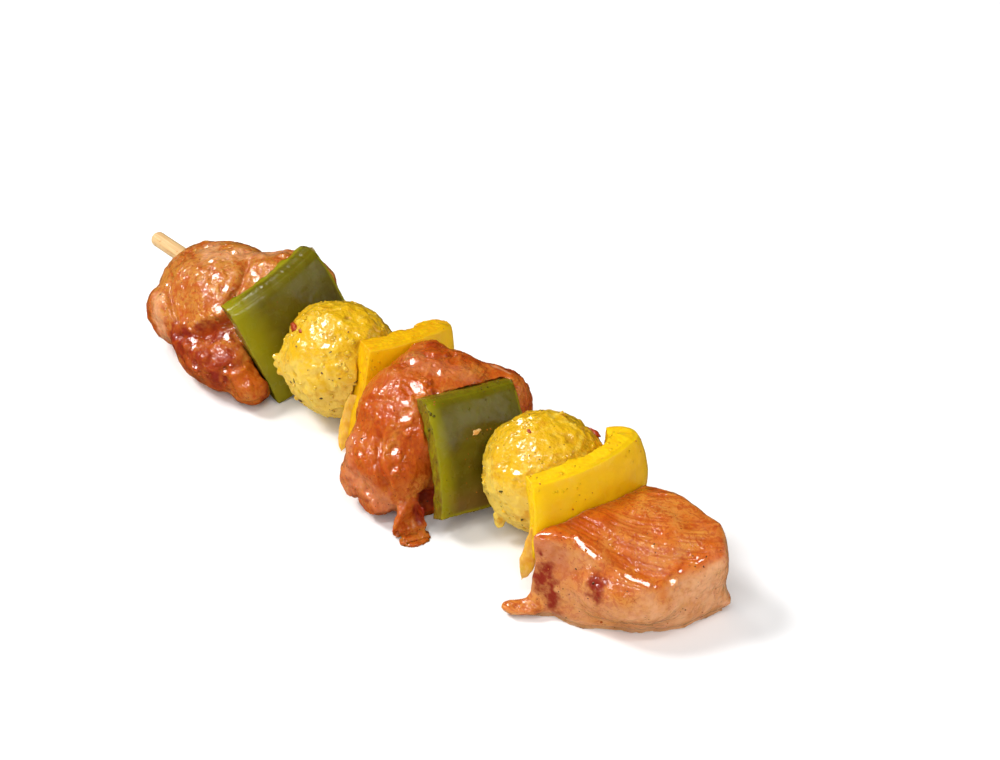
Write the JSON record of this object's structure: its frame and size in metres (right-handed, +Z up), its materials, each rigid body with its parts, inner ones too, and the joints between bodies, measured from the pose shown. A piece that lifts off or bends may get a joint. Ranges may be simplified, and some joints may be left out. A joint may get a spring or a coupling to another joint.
{
  "type": "chicken kebab skewer",
  "caption": "Raw marinated chicken kebab on a round bamboo stick, with bell pepper pieces and curry meatballs between the chunks of chicken, lying on its side.",
  "frame": {"origin": "on the table, under the middle of the skewer's bounding box", "axes": "+X along the skewer from the stick's bare end to the last chicken chunk, +Y sideways along the table, +Z up"},
  "size_m": [0.1904, 0.0476, 0.0316],
  "materials": {
    "marinated_chicken": "wet, raw, orange-brown marinade",
    "green_pepper": "waxy skin with wet cut edges",
    "yellow_pepper": "waxy skin with wet cut edges",
    "curry_meatball": "rough mince with a glossy yellow sauce",
    "bamboo": "bare, lightly sanded"
  },
  "bodies": {
    "root": {"stick": "bamboo", "chicken_1": "marinated_chicken", "green_pepper_1": "green_pepper", "curry_ball_1": "curry_meatball", "yellow_pepper_1": "yellow_pepper", "chicken_2": "marinated_chicken", "green_pepper_2": "green_pepper", "curry_ball_2": "curry_meatball", "yellow_pepper_2": "yellow_pepper", "chicken_3": "marinated_chicken"}
  },
  "joints": []
}
